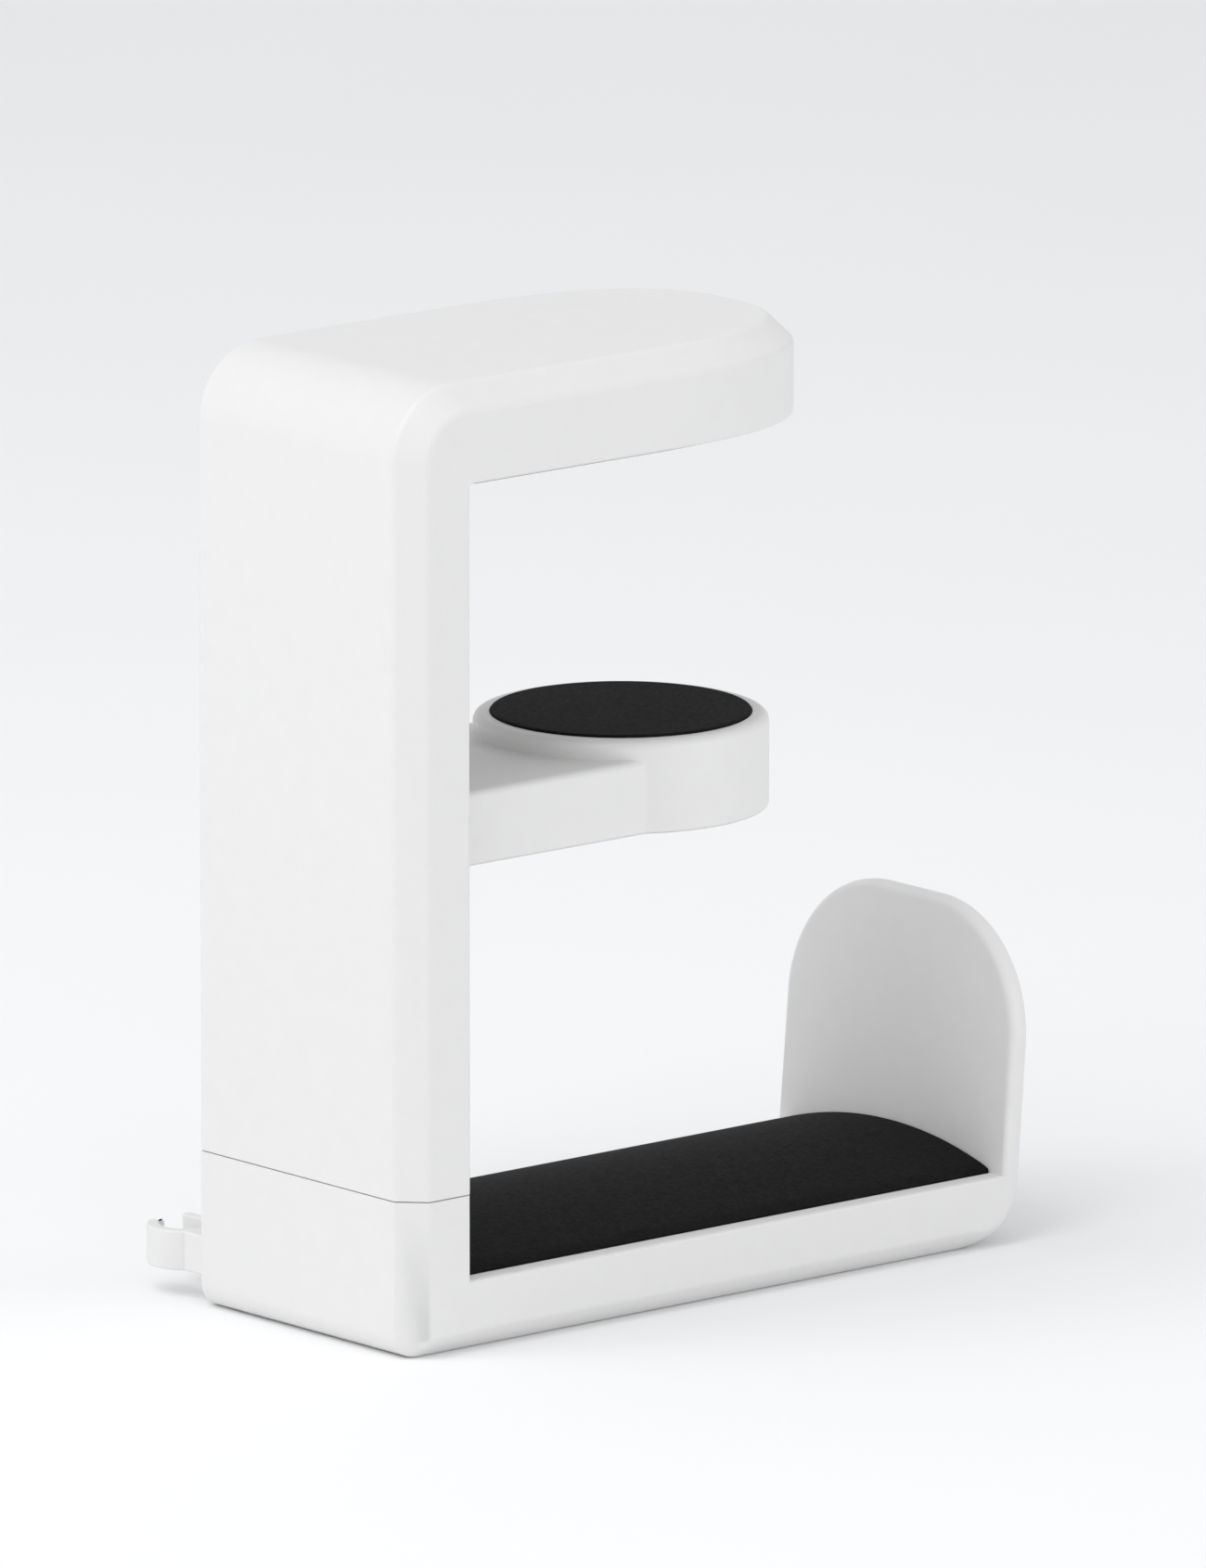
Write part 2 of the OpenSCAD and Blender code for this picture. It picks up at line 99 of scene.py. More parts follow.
# hook
SEAM_Z = SHELL_LOW.z - 0.1
FOOT_BEND = 3.0
FOOT_CHAMFER = 2.5
RIM_Z = PAD_LOW.z + 0.48
HOLLOW_Z = 4.8                          # roof of the open underside
SEAT_DEPTH = 0.5
SKIRT_T = 3.2
CORNER_R = 8.5
PLATE_FOOT_X = 92.0
PLATE_T = 3.0
PLATE_LEAN = math.radians(4.3)
PLATE_TOP_Z = 38.7
PLATE_R = 15.4
PLATE_CHAMFER = 0.9
CORNER_FADE = 50                        # degrees of the far corner over which the chamfer narrows

# rounding of moulded edges
EDGE_R = 0.45
HOOK_EDGE_R = 0.35
SEAM_EDGE_R = 0.12
PLATE_INNER_R = 0.95
PLATE_OUTER_R = 0.5
QUARTER = [math.pi / 2 * i / 6 for i in range(7)]      # the angles of a quarter turn

# column cover and its screws
SLOT_Y, SLOT_Z = 5.5, (46.8, 92.2)
SMALL_SHANK, SMALL_HEAD, SMALL_HEAD_T = 0.8, 1.9, 0.9
COVER_SCREWS = [(side * 15.4, z) for side in (-1, 1) for z in (29, 91)]

# jaw, pads and cable clip
JAW_W, JAW_T = 29.2, 8.7
JAW_TOP_R = 1.1
JAW_NECK_Y = 5.0
PAD_EDGE_Z = 9.0                        # top of the tray pad at its sides
CLIP_R, CLIP_WALL = 3.1, 1.5
CLIP_LIP = 125                          # degrees at which the cup's lip ends

# lead screw
SCREW_R, SQUARE_W, SQUARE_TOP, JOURNAL_R, JOURNAL_LEN = 2.0, 2.8, 12.0, 1.5, 5.1
THREAD_DEPTH, THREAD_LEAD, COLLAR_T = 0.5, 2.0, 1.5

# viewing direction: azimuth from the object's side face towards its outer face, and height above level
AZIMUTH = math.radians(40.54)
ELEVATION = math.radians(12.25)
DISTANCE = 2.933
LENS_MM = 588.7
AIM = (40.0, 0.0, 60.0)
AIM_SHIFT = (4.41, -1.5)                # to the right and up in the view


# ---------- mesh helpers ----------


class Shell:
    """A mesh under construction. Faces share the vertices that are already there."""

    def __init__(self):
        self.bm = bmesh.new()
        self.vertices = {}

    def face(self, points):
        found = []
        for point in points:
            key = tuple(round(c, 4) for c in point)
            if key not in self.vertices:
                self.vertices[key] = self.bm.verts.new(point)
            if self.vertices[key] not in found:
                found.append(self.vertices[key])
        if len(found) > 2:
            self.bm.faces.new(found)

    def loft(self, rings):
        """Joins rings of points, one after another, and caps the first and the last."""
        count = len(rings[0])
        for low, high in zip(rings, rings[1:]):
            for i in range(count):
                j = (i + 1) % count
                self.face([low[i], low[j], high[j], high[i]])
        self.face(rings[0][::-1])
        self.face(rings[-1])

    def to_object(self, name):
        mesh = bpy.data.meshes.new(name)
        self.bm.to_mesh(mesh)
        self.bm.free()
        obj = bpy.data.objects.new(name, mesh)
        bpy.context.scene.collection.objects.link(obj)
        return obj

    def solid(self, name):
        """The finished closed shape as an object in layout millimetres, its faces turned outwards."""
        bmesh.ops.recalc_face_normals(self.bm, faces=self.bm.faces)
        return self.to_object(name)


def loft_solid(name, rings):
    shell = Shell()
    shell.loft(rings)
    return shell.solid(name)


def arc(centre, radius, start, end, steps):
    """Points on an arc, in degrees, both ends included."""
    angles = [math.radians(start + (end - start) * i / steps) for i in range(steps + 1)]
    return [(centre[0] + radius * math.cos(a), centre[1] + radius * math.sin(a)) for a in angles]


def box_solid(x, y, z):
    ring = [(x[0], y[0]), (x[1], y[0]), (x[1], y[1]), (x[0], y[1])]
    return loft_solid("box", [[(p[0], p[1], level) for p in ring] for level in z])


def lathe_solid(profile, centre=(0, 0, 0), axis="Z", steps=64):
    """A closed solid turned about an axis. The profile is a list of (radius, height)."""
    rings = []
    for radius, height in profile:
        ring = []
        for i in range(steps):
            a = 2 * math.pi * i / steps
            u, v = radius * math.cos(a), radius * math.sin(a)
            local = (u, v, height) if axis == "Z" else (height, u, v)
            ring.append(Vector(centre) + Vector(local))
        rings.append(ring)
    return loft_solid("lathe", rings)


def apply_modifiers(obj):
    depsgraph = bpy.context.evaluated_depsgraph_get()
    mesh = bpy.data.meshes.new_from_object(obj.evaluated_get(depsgraph))
    obj.modifiers.clear()
    obj.data = mesh


def combine(obj, others, operation):
    """Boolean of obj with each of the other solids, which are used up."""
    for other in others:
        mod = obj.modifiers.new(operation, "BOOLEAN")
        mod.operation = operation
        mod.solver = "EXACT"
        mod.object = other
        apply_modifiers(obj)
        bpy.data.objects.remove(other)


def round_edges(obj, radius_at, segments=3):
    """Rounds the edges whose faces meet at a clear angle. radius_at(middle) is in mm, 1 at the most."""
    bm = bmesh.new()
    bm.from_mesh(obj.data)
    bmesh.ops.remove_doubles(bm, verts=bm.verts, dist=WELD)
    bmesh.ops.dissolve_degenerate(bm, dist=WELD / 10, edges=bm.edges)
    bmesh.ops.dissolve_limit(bm, angle_limit=0.0005, verts=bm.verts, edges=bm.edges)
    weight = bm.edges.layers.float.new("bevel_weight_edge")
    for edge in bm.edges:
        if len(edge.link_faces) == 2 and math.degrees(edge.calc_face_angle(0)) > SHARPEST:
            middle = (edge.verts[0].co + edge.verts[1].co) / 2
            edge[weight] = min(radius_at(middle), 1)
    bm.to_mesh(obj.data)
    bm.free()
    mod = obj.modifiers.new("round", "BEVEL")
    mod.limit_method = "WEIGHT"
    mod.width = 1.0
    mod.segments = segments
    mod.miter_outer = "MITER_ARC"
    mod.use_clamp_overlap = False
    apply_modifiers(obj)


def shade(obj):
    """Smooth shading with the flat faces kept flat."""
    for polygon in obj.data.polygons:
        polygon.use_smooth = True
    obj.data.set_sharp_from_angle(angle=math.radians(40))
    mod = obj.modifiers.new("normals", "WEIGHTED_NORMAL")
    mod.keep_sharp = True
    apply_modifiers(obj)


def to_frame(obj):
    obj.data.transform(Matrix.Translation(ORIGIN) @ Matrix.Scale(MM, 4))
    obj.data.update()


def finish_piece(obj, name, body, material, nodes):
    """Names and shades a solid, moves it to the part's frame, and sets its body, finish and nodes."""
    shade(obj)
    to_frame(obj)
    obj.name = name
    obj.data.name = name
    obj.data.materials.clear()
    obj.data.materials.append(material)
    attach(obj, body)
    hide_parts(*nodes)


# ---------- materials ----------


def node_material(name):
    material = bpy.data.materials.new(name)
    material.use_nodes = True
    tree = material.node_tree
    return material, tree, tree.nodes["Principled BSDF"]


def noise(tree, scale, detail=3.0, stretch=(1, 1, 1)):
    """A noise in the piece's own coordinates, with scale in features per metre."""
    coords = tree.nodes.new("ShaderNodeTexCoord")
    mapping = tree.nodes.new("ShaderNodeMapping")
    mapping.inputs["Scale"].default_value = stretch
    texture = tree.nodes.new("ShaderNodeTexNoise")
    texture.inputs["Scale"].default_value = scale
    texture.inputs["Detail"].default_value = detail
    tree.links.new(coords.outputs["Object"], mapping.inputs["Vector"])
    tree.links.new(mapping.outputs["Vector"], texture.inputs["Vector"])
    return texture.outputs["Fac"]


def ramp(tree, value, low, high):
    """Maps a noise to the range from low to high, which are numbers or colours."""
    node = tree.nodes.new("ShaderNodeValToRGB")
    node.color_ramp.elements[0].position = 0.3
    node.color_ramp.elements[1].position = 0.7
    for element, stop in zip(node.color_ramp.elements, (low, high)):
        element.color = (*stop, 1) if isinstance(stop, tuple) else (stop, stop, stop, 1)
    tree.links.new(value, node.inputs["Fac"])
    return node.outputs["Color"]


def bump(tree, shader, height, strength, distance):
    node = tree.nodes.new("ShaderNodeBump")
    node.inputs["Strength"].default_value = strength
    node.inputs["Distance"].default_value = distance
    tree.links.new(height, node.inputs["Height"])
    tree.links.new(node.outputs["Normal"], shader.inputs["Normal"])


def moulded_plastic(name, colour, roughness):
    """Spark-eroded matte plastic: a fine grain, faint flow variation and uneven gloss."""
    material, tree, shader = node_material(name)
    darker = tuple(c * 0.985 for c in colour)
    tree.links.new(ramp(tree, noise(tree, 350, 5), darker, colour), shader.inputs["Base Color"])
    tree.links.new(
        ramp(tree, noise(tree, 1400, 5), roughness - 0.06, roughness + 0.06),
        shader.inputs["Roughness"],
    )
    bump(tree, shader, noise(tree, 4200, 4), 0.22, 0.00003)
    shader.inputs["IOR"].default_value = 1.5
    shader.inputs["Subsurface Weight"].default_value = 0.05
    shader.inputs["Subsurface Radius"].default_value = (0.001, 0.001, 0.0008)
    shader.inputs["Subsurface Scale"].default_value = 1.0
    return material


def soft_rubber(name):
    """Matte black rubber with a fine grain and a dusty sheen."""
    material, tree, shader = node_material(name)
    tree.links.new(
        ramp(tree, noise(tree, 500, 5), (0.0035, 0.0035, 0.004), (0.0065, 0.0065, 0.007)),
        shader.inputs["Base Color"],
    )
    tree.links.new(ramp(tree, noise(tree, 1800, 4), 0.74, 0.88), shader.inputs["Roughness"])
    bump(tree, shader, noise(tree, 5200, 5), 0.35, 0.00004)
    shader.inputs["Specular IOR Level"].default_value = 0.16
    return material


def metal(name, low, high, roughness, stretch):
    """Metal with fine tool marks along one direction."""
    material, tree, shader = node_material(name)
    shader.inputs["Metallic"].default_value = 1.0
    marks = noise(tree, 900, 6, stretch)
    tree.links.new(ramp(tree, noise(tree, 300, 4), low, high), shader.inputs["Base Color"])
    tree.links.new(ramp(tree, marks, roughness - 0.08, roughness + 0.1), shader.inputs["Roughness"])
    bump(tree, shader, marks, 0.15, 0.00002)
    return material


WHITE = moulded_plastic("white_plastic", (0.8, 0.798, 0.79), 0.42)
INNER = moulded_plastic("inner_plastic", (0.72, 0.72, 0.71), 0.5)
RUBBER = soft_rubber("black_rubber")
STEEL = metal("screw_steel", (0.52, 0.53, 0.55), (0.62, 0.63, 0.65), 0.3, (1, 1, 8))
BRONZE = metal("bush_bronze", (0.42, 0.27, 0.12), (0.52, 0.35, 0.17), 0.38, (1, 1, 6))


# ---------- the chamfered band that makes the clamp frame and the hook ----------


class Station:
    """A point on the outer face's side profile, its outward normal and its chamfer."""

    def __init__(self, x, z, normal, chamfer, corner=None):
        self.x, self.z, self.normal, self.chamfer, self.corner = x, z, normal, chamfer, corner

    def edge(self, side, depth, inset):
        """The point `depth` below the outer face and `inset` from the side face.

        Round a tight bend the side face ends in one corner point, which the bend's stations share.
        """
        if self.corner and inset == 0:
            return (self.corner[0], side * HALF_W, self.corner[1])
        x = self.x - self.normal[0] * depth
        z = self.z - self.normal[1] * depth
        return (x, side * (HALF_W - inset), z)


def bend(centre, radius, start, end, chamfers, steps=24, corner=None):
    """Stations round a bend, in degrees. The chamfer goes from the first width to the second."""
    stations = []
    for i in range(steps + 1):
        share = i / steps
        a = math.radians(start + (end - start) * share)
        normal = (math.cos(a), math.sin(a))
        eased = share * share * (3 - 2 * share)
        chamfer = chamfers[0] + (chamfers[1] - chamfers[0]) * eased
        x, z = centre[0] + radius * normal[0], centre[1] + radius * normal[1]
        stations.append(Station(x, z, normal, chamfer, corner))
    return stations


def band_solid(name, stations, outline, thickness, inner_path):
    """A strip of body that follows the stations and ends in a plate with the outline's shape.

    outline(inset) gives the plate's edge as (distance past the last station, y), from -y to +y.
    inner_path is the side profile's inner line, from the start to where the plate's inner face begins.
    """
    shell = Shell()
    last = stations[-1]
    along = (last.normal[1], -last.normal[0])
    if along[0] * (last.x - stations[-2].x) + along[1] * (last.z - stations[-2].z) < 0:
        along = (-along[0], -along[1])

    def plate_edge(inset, depth):
        return [
            (
                last.x + along[0] * u - last.normal[0] * depth,
                y,
                last.z + along[1] * u - last.normal[1] * depth,
            )
            for u, y in outline(inset)
        ]

    chamfer = last.chamfer
    high, low, inner = plate_edge(chamfer, 0), plate_edge(0, chamfer), plate_edge(0, thickness)
    for a, b in zip(stations, stations[1:]):
        tops = [[s.edge(side, 0, s.chamfer) for s in (a, b)] for side in (-1, 1)]
        if b is last:
            shell.face([tops[0][0]] + high + [tops[1][0]])
        else:
            shell.face([tops[0][0], tops[0][1], tops[1][1], tops[1][0]])
        for side, top in zip((-1, 1), tops):
            shell.face([a.edge(side, a.chamfer, 0), b.edge(side, b.chamfer, 0), top[1], top[0]])
    for i in range(len(high) - 1):
        shell.face([low[i], low[i + 1], high[i + 1], high[i]])
        shell.face([inner[i], inner[i + 1], low[i + 1], low[i]])
    for side, end in ((-1, 0), (1, -1)):
        inner_points = [(x, side * HALF_W, z) for x, z in reversed(inner_path)]
        outer_points = [s.edge(side, s.chamfer, 0) for s in stations]
        shell.face(outer_points + [low[end], inner[end]] + inner_points)
    for p, q in zip(inner_path, inner_path[1:]):
        near = [(x, -HALF_W, z) for x, z in (p, q)]
        far = [(x, HALF_W, z) for x, z in (q, p)]
        shell.face(near + far)
    x, z = inner_path[-1]
    shell.face([(x, -HALF_W, z)] + inner + [(x, HALF_W, z)])
    x, z = inner_path[0]
    first = stations[0]
    sides = [[first.edge(s, first.chamfer, 0), first.edge(s, 0, first.chamfer)] for s in (-1, 1)]
    shell.face([(x, -HALF_W, z), *sides[0], *reversed(sides[1]), (x, HALF_W, z)])
    return shell.solid(name)


def arm_outline(inset):
    """The arm's rounded tip, a superellipse from side to side."""
    points = []
    steps = 72
    for i in range(steps + 1):
        t = math.radians(-90 + 180 * i / steps)
        u = (TIP_LEN - inset) * abs(math.cos(t)) ** (2 / TIP_POWER)
        y = (HALF_W - inset) * abs(math.sin(t)) ** (2 / TIP_POWER)
        points.append((max(u, 0), math.copysign(y, t)))
    points[0] = (0, -HALF_W + inset)
    points[-1] = (0, HALF_W - inset)
    return points


def plate_outline(inset):
    """The end plate's top: two rounded corners and a flat edge between them."""
    radius = PLATE_R - inset
    flat = HALF_W - PLATE_R
    left = arc((0, -flat), radius, 270, 360, 28)
    right = arc((0, flat), radius, 0, 90, 28)
    return left + right


def tip_ring(inset, x0, z):
    """The arm's plan, set in from its edge, as a closed ring of points at one height."""
    start = SHELL_HIGH.x - TIP_LEN
    ring = [(start + u, y, z) for u, y in arm_outline(inset)]
    return [(x0, -HALF_W + inset, z)] + ring + [(x0, HALF_W - inset, z)]


# ---------- clamp body ----------


def clamp_shell():
    top, arm_z = SHELL_HIGH.z, SHELL_HIGH.z - ARM_T
    c = SHELL_CHAMFER
    stations = [Station(0, SHELL_LOW.z, (-1, 0), c)]
    stations += bend((SHELL_BEND, top - SHELL_BEND), SHELL_BEND, 180, 90, (c, c))
    stations.append(Station(SHELL_HIGH.x - TIP_LEN, top, (0, 1), c))
    inner = [(COLUMN_D, SHELL_LOW.z), (COLUMN_D, arm_z)]
    obj = band_solid("shell", stations, arm_outline, ARM_T, inner)
    cover_low, cover_high = layout_box("arm_cover")
    root, step_z = cover_low.x - FIT, cover_high.z + FIT
    rebate, hollow = (ARM_REBATE, root), (ARM_WALL, root + 1.7)
    levels = [(*rebate, arm_z - 1), (*rebate, step_z), (*hollow, step_z), (*hollow, top - 2.8)]
    cuts = [loft_solid("pocket", [tip_ring(*level) for level in levels])]
    y, z = COVER_HIGH.y + FIT, (COVER_LOW.z - FIT, COVER_HIGH.z + FIT)
    cuts.append(box_solid((COVER_LOW.x, COLUMN_D + 1), (-y, y), z))
    cuts.append(box_solid((COLUMN_WALL, COVER_LOW.x + 0.5), (-y + 0.8, y - 0.8), z))
    combine(obj, cuts, "DIFFERENCE")

    def on_tip_wall(p):
        return p.z > top - c - NEAR or abs(p.y) > HALF_W - NEAR

    def radius_at(p):
        if abs(p.z - SHELL_LOW.z) < NEAR:
            return SEAM_EDGE_R
        inside_column = p.x > 1 and abs(p.y) < HALF_W - 1 and p.z < arm_z - 0.5
        inside_arm = arm_z + NEAR < p.z < top - 1 and p.x > root - NEAR and not on_tip_wall(p)
        if inside_column and p.x < COLUMN_D - NEAR or inside_arm:
            return 0
        return 0.15 if inside_column else EDGE_R

    round_edges(obj, radius_at)
    lower, upper = layout_box("lower_bush"), layout_box("upper_bush")
    flange_r, bush_r = lower[1].y + FIT / 2, upper[1].y + FIT / 2
    bores = [
        (bush_r, SHELL_LOW.z - 1, COVER_LOW.z + 1),
        (flange_r, SHELL_LOW.z - 1, SHELL_LOW.z + 1.1),
        (bush_r, upper[0].z - 1, upper[1].z + FIT),
    ]
    combine(obj, [lathe_solid([(r, a), (r, b)], (SCREW_X, 0, 0)) for r, a, b in bores], "DIFFERENCE")
    finish_piece(obj, "clamp_shell", "clamp", WHITE, ["clamp_frame"])


# ---------- hook body ----------


def hook_shell():
    normal = (math.cos(PLATE_LEAN), -math.sin(PLATE_LEAN))
    c, narrow = FOOT_CHAMFER, PLATE_CHAMFER
    far_x = PLATE_FOOT_X - CORNER_R * (1 - math.sin(PLATE_LEAN)) / math.cos(PLATE_LEAN)
    corner = (SHELL_CHAMFER, c)
    turned, end = 270 + CORNER_FADE, 360 - math.degrees(PLATE_LEAN)
    stations = [Station(0, SEAM_Z, (-1, 0), SHELL_CHAMFER)]
    stations += bend((FOOT_BEND, FOOT_BEND), FOOT_BEND, 180, 270, corner, 12, corner)
    stations += bend((far_x, CORNER_R), CORNER_R, 270, turned, (c, narrow), 14)
    stations += bend((far_x, CORNER_R), CORNER_R, turned, end, (narrow, narrow), 12)[1:]
    foot = stations[-1]
    climb = (PLATE_TOP_Z - PLATE_R - foot.z) / normal[0]
    stations.append(Station(foot.x - normal[1] * climb, foot.z + normal[0] * climb, normal, narrow))
    plate_x = foot.x - PLATE_T * normal[0] + (RIM_Z - foot.z) * math.tan(PLATE_LEAN)
    inner = [(COLUMN_D, SEAM_Z), (COLUMN_D, RIM_Z), (plate_x, RIM_Z)]
    obj = band_solid("hook", stations, plate_outline, PLATE_T, inner)
    seat_y = PAD_HIGH.y + FIT
    inside_y = HALF_W - SKIRT_T
    hollow = box_solid((COLUMN_D, PLATE_FOOT_X + 5), (-inside_y, inside_y), (-1, HOLLOW_Z))
    seat_z = RIM_Z - SEAT_DEPTH
    seat = box_solid((COLUMN_D + 0.02, plate_x - 0.02), (-seat_y, seat_y), (seat_z, RIM_Z + 1))
    combine(obj, [hollow, seat], "DIFFERENCE")

    def radius_at(p):
        if abs(p.z - SEAM_Z) < NEAR:
            return SEAM_EDGE_R
        if abs(p.z - HOLLOW_Z) < 2 * NEAR:
            return 0.08
        if abs(p.x - COLUMN_D) < NEAR and p.z > RIM_Z:
            return 0.3
        if p.x > plate_x + 0.05 and p.z > RIM_Z + 0.5:
            depth = (PLATE_FOOT_X + p.z * math.tan(PLATE_LEAN) - p.x) * normal[0]
            return PLATE_INNER_R if depth > PLATE_T - 0.5 else PLATE_OUTER_R
        on_seat = abs(p.y) < seat_y + 0.05 and p.z > seat_z - FIT
        return 0 if on_seat else HOOK_EDGE_R

    round_edges(obj, radius_at)
    finish_piece(obj, "hook_shell", "hook", WHITE, ["hook_body"])


# ---------- column cover, screws and the upper pad ----------


def column_cover():
    obj = box_solid(*zip(COVER_LOW, COVER_HIGH))
    cuts = [box_solid((COVER_LOW.x - 1, COLUMN_D + 1), (-SLOT_Y, SLOT_Y), SLOT_Z)]
    shank, head, seat_x = SMALL_SHANK + 0.2, SMALL_HEAD + FIT, COLUMN_D - SMALL_HEAD_T - FIT
    hole = [(shank, COVER_LOW.x - 1), (shank, seat_x), (head, seat_x), (head, COLUMN_D + 1)]
    for y, z in COVER_SCREWS:
        cuts.append(lathe_solid(hole, (0, y, z), "X", 48))
    combine(obj, cuts, "DIFFERENCE")
    round_edges(obj, lambda p: 0.1 if p.x > COLUMN_D - 0.05 or abs(p.y) < SLOT_Y + 0.05 else 0)
    finish_piece(obj, "column_cover_plate", "clamp", WHITE, ["column_cover"])


def column_screws():
    """Pan-edged screws with a cross recess, their heads just below the cover's face."""
    top, length, wide, narrow = COLUMN_D - 0.1, 6.2, 1.05, 0.2
    profile = [(SMALL_SHANK * 0.4, -length), (SMALL_SHANK, -length + 0.7), (SMALL_SHANK, -SMALL_HEAD_T)]
    profile += [(SMALL_HEAD, -SMALL_HEAD_T), (SMALL_HEAD, -0.28), (SMALL_HEAD - 0.08, -0.12)]
    profile.append((SMALL_HEAD - 0.28, 0))
    profile = [(r, top + x) for r, x in profile]
    for number, (y, z) in enumerate(COVER_SCREWS, 1):
        obj = lathe_solid(profile, (0, y, z), "X", 48)
        cross = [
            box_solid((top - 0.5, top + 1), (y - across, y + across), (z - tall, z + tall))
            for across, tall in ((wide, narrow), (narrow, wide))
        ]
        combine(obj, cross, "DIFFERENCE")
        finish_piece(obj, f"cover_screw_{number}", "clamp", STEEL, ["column_screws"])


def upper_pad():
    low, high = layout_box("upper_pad")
    inset, soft = 1.5, 0.3
    steps = ((soft, 0), (0.3 * soft, 0.3 * soft), (0, soft), (0, high.z - low.z))
    rings = [tip_ring(inset + back, low.x + back, low.z + rise) for back, rise in steps]
    obj = loft_solid("pad", rings)
    finish_piece(obj, "upper_rubber_pad", "clamp", RUBBER, ["upper_pad"])


# ---------- jaw ----------


def jaw_shell():
    low, high = JAW_LOW.z, JAW_HIGH.z
    centre = (JAW_AXIS_X, 0, 0)
    disc_r = JAW_HIGH.x - JAW_AXIS_X
    arm_x, arm_top, half = COLUMN_D + 0.4, low + JAW_T, JAW_W / 2
    obj = box_solid((arm_x, JAW_AXIS_X), (-half, half), (low, arm_top))
    round_edges(obj, lambda p: JAW_TOP_R if p.z > arm_top - 0.1 else EDGE_R, 5)
    turned = [(1 - math.sin(a), 1 - math.cos(a)) for a in QUARTER]
    profile = [(disc_r - EDGE_R * s, low + EDGE_R * c) for s, c in turned]
    profile += [(disc_r - JAW_TOP_R * c, high - JAW_TOP_R * s) for s, c in turned]
    combine(obj, [lathe_solid(profile, centre, steps=128)], "UNION")

    rebate, cover_top = 1.2, low + 1.4
    wall, roof = 1.8, JAW_PAD_LOW.z - 1.8
    pad_r = JAW_PAD_HIGH.x - JAW_AXIS_X + FIT

    def bore(radius, z, steps=128):
        return lathe_solid([(radius, z[0]), (radius, z[1])], centre, steps=steps)

    def arm_pocket(x, inset, z):
        return box_solid((x, JAW_AXIS_X), (inset - half, half - inset), z)

    cuts = [
        arm_pocket(arm_x + rebate, rebate, (low - 1, cover_top)),
        bore(disc_r - rebate, (low - 1, cover_top)),
        arm_pocket(arm_x + 6, wall, (low + 0.5, arm_top - wall)),
        bore(pad_r, (JAW_PAD_LOW.z, high + 1)),
        bore(disc_r - wall, (cover_top - 0.5, roof), 96),
    ]
    combine(obj, cuts, "DIFFERENCE")
    neck = box_solid((JAW_LOW.x, arm_x + 1), (-JAW_NECK_Y, JAW_NECK_Y), (low + 1.2, low + 7.5))
    combine(obj, [neck], "UNION")
    finish_piece(obj, "jaw_shell", "jaw", WHITE, ["jaw_arm"])


def jaw_pad():
    r, top = JAW_PAD_HIGH.x - JAW_AXIS_X, JAW_PAD_HIGH.z
    soft = 0.25
    profile = [(r, JAW_PAD_LOW.z), (r, top - soft)]
    for a in (0.4, 0.8, 1.2, math.pi / 2):
        profile.append((r - soft * (1 - math.cos(a)), top - soft * (1 - math.sin(a))))
    profile += [(share * r, top) for share in (0.9, 0.6, 0.3)]
    obj = lathe_solid(profile, (JAW_AXIS_X, 0, 0), steps=128)
    finish_piece(obj, "jaw_rubber_disc", "jaw", RUBBER, ["jaw_pad"])


# ---------- tray pad and cable clip ----------


def tray_pad():
    """A strip with a crowned top and soft edges. Its far end follows the leaning plate."""
    edge_y, base, top = PAD_HIGH.y, PAD_LOW.z, PAD_HIGH.z
    rise = top - PAD_EDGE_Z
    crown_r = (edge_y**2 + rise**2) / (2 * rise)
    soft = 0.35
    near, far = PAD_LOW.x, PAD_HIGH.x
    lean = math.tan(PLATE_LEAN) * 0.9

    def section(inset, place):
        w = edge_y - inset
        points = [(-w, base)]
        for i in range(41):
            y = -w + 2 * w * i / 40
            share = max(0, (abs(y) - edge_y + soft) / soft)
            drop = soft * (1 - math.sqrt(max(0, 1 - share**2))) + inset * 0.8
            points.append((y, top - crown_r + math.sqrt(crown_r**2 - y**2) - drop))
        points.append((w, base))
        return [(place(z), y, z) for y, z in points]

    rings = [section(i, lambda z: near + d) for d, i in ((0, soft), (0.1, 0.12), (soft, 0))]
    rings += [section(0, lambda z: near + (far - near) * k / 24) for k in range(1, 24)]
    for gap, inset in ((soft, 0), (0.1, 0.12), (0.02, soft)):
        rings.append(section(inset, lambda z: far - gap + (z - base) * lean))
    obj = loft_solid("pad", rings)
    finish_piece(obj, "tray_rubber_pad", "hook", RUBBER, ["tray_pad"])


